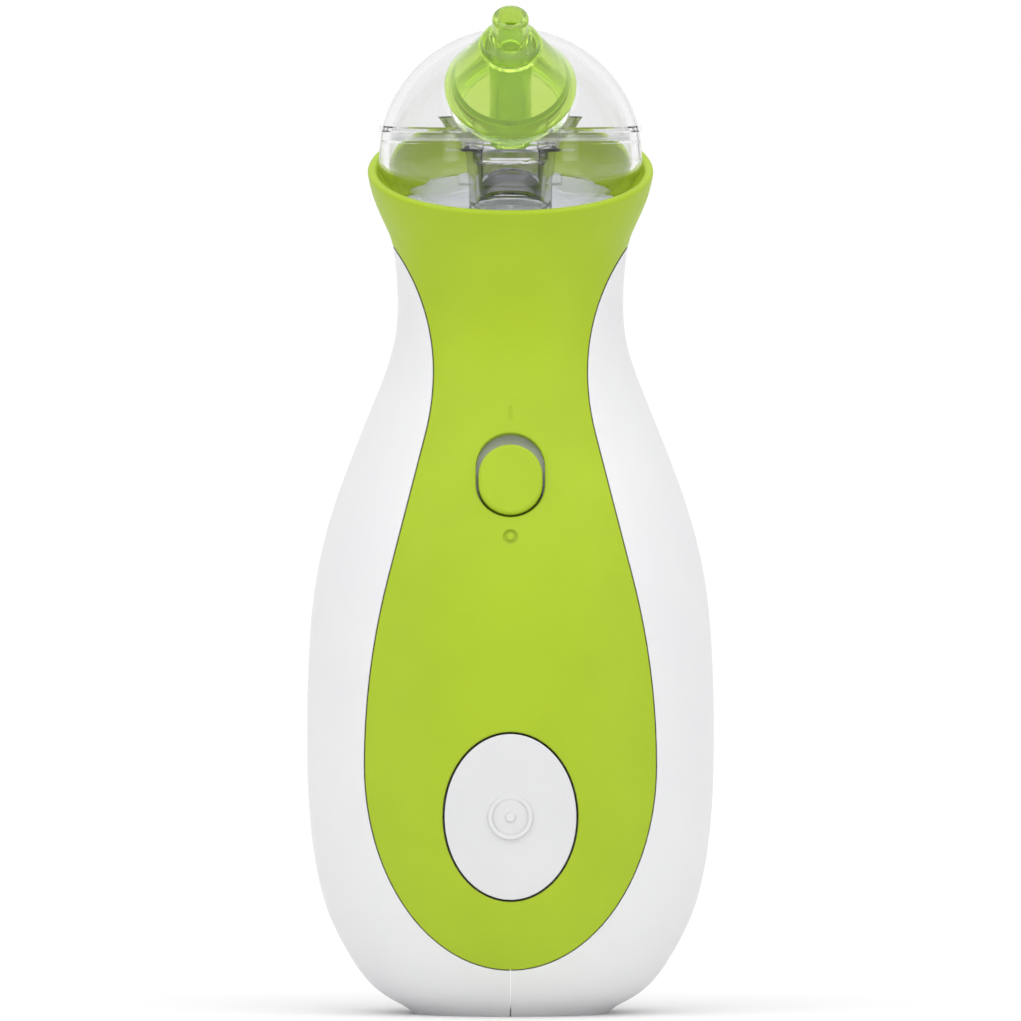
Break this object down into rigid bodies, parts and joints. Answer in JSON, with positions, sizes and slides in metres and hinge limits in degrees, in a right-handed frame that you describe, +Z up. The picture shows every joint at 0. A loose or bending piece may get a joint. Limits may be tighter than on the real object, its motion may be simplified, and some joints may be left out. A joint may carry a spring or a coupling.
{
  "type": "nasal aspirator",
  "caption": "Battery nasal aspirator with a white and green bottle-shaped body, clear lift-out head, green nozzle, slide switch and push button.",
  "frame": {"origin": "middle of the flat base that it stands on", "axes": "+Z up along the body; the front with switch and button faces -Y; +X to the right as seen from the front"},
  "size_m": [0.0582, 0.0503, 0.144],
  "materials": {
    "green_shell": "satin",
    "green_clear": "polished translucent plastic",
    "white_shell": "smooth satin gloss",
    "white_button": "smooth satin",
    "bay_white": "satin",
    "clear_head": "polished clear plastic",
    "soft_seal": "silicone",
    "slider_grey": "satin",
    "frame_plastic": "moulded",
    "board_green": "solder mask",
    "black_plastic": "moulded",
    "steel": "plated",
    "screw_steel": "zinc plated",
    "copper_core": "wound core",
    "bronze": "sintered",
    "cell_jacket": "printed jacket without text",
    "black_rubber": "moulded",
    "pump_plastic": "moulded",
    "hose_silicone": "silicone",
    "wire_red": "insulation",
    "wire_black": "insulation"
  },
  "bodies": {
    "body": {"front_panel": "green_shell", "left_shell": "white_shell", "right_shell": "white_shell", "bay_floor": "bay_white", "casing_screws": "screw_steel", "inner_frame": "frame_plastic", "slide_switch": "steel", "button_spring": "steel", "tact_switch": "black_plastic", "circuit_board": "board_green", "board_parts": "black_plastic", "board_screws": "screw_steel", "battery_cell_a": "cell_jacket", "battery_cell_b": "cell_jacket", "battery_bridge": "steel", "contact_plus": "steel", "contact_minus": "steel", "motor_can": "steel", "motor_end_cap": "black_plastic", "motor_magnets": "black_plastic", "motor_bushing": "bronze", "motor_sleeve": "black_rubber", "pump_base": "pump_plastic", "wobble_plate": "pump_plastic", "diaphragm": "black_rubber", "valve_plate": "pump_plastic", "pump_head": "pump_plastic", "pump_screws": "screw_steel", "suction_hose": "hose_silicone", "motor_lead_red": "wire_red", "motor_lead_black": "wire_black", "battery_lead_red": "wire_red", "battery_lead_black": "wire_black"},
    "head": {"head_cup": "clear_head", "separator_funnel": "clear_head", "stem_o_ring": "soft_seal", "head_seal": "soft_seal"},
    "dome": {"head_dome": "clear_head"},
    "nozzle": {"nozzle": "green_clear", "nozzle_seal": "soft_seal"},
    "switch": {"switch_knob": "green_shell", "switch_slider": "slider_grey"},
    "button": {"main_button": "white_button"},
    "door": {"battery_door": "white_shell"},
    "rotor": {"motor_shaft": "steel", "motor_rotor": "copper_core", "eccentric_hub": "pump_plastic"}
  },
  "joints": [
    {"name": "head_lift", "type": "slide", "parent": "body", "child": "head", "axis": [0, 0, 1], "range_m": [0, 0.03]},
    {"name": "dome_lift", "type": "slide", "parent": "head", "child": "dome", "axis": [0, 0, 1], "range_m": [0, 0.02]},
    {"name": "nozzle_pull", "type": "slide", "parent": "dome", "child": "nozzle", "axis": [0, -0.7771, 0.6293], "range_m": [0, 0.02]},
    {"name": "switch_slide", "type": "slide", "parent": "body", "child": "switch", "axis": [0, 0.2419, 0.9703], "range_m": [0, 0.0014]},
    {"name": "button_press", "type": "slide", "parent": "body", "child": "button", "axis": [0, 1, 0], "range_m": [0, 0.0008], "stiffness_N_per_m": 400, "deforming": ["button_spring"]},
    {"name": "door_swing", "type": "hinge", "parent": "body", "child": "door", "pos_m": [0, 0.0223, 0.0141], "axis": [-1, 0, 0], "range_deg": [0, 35]},
    {"name": "motor_spin", "type": "hinge", "parent": "body", "child": "rotor", "pos_m": [0, 0, 0.08], "axis": [0, 0, 1], "continuous": true}
  ]
}
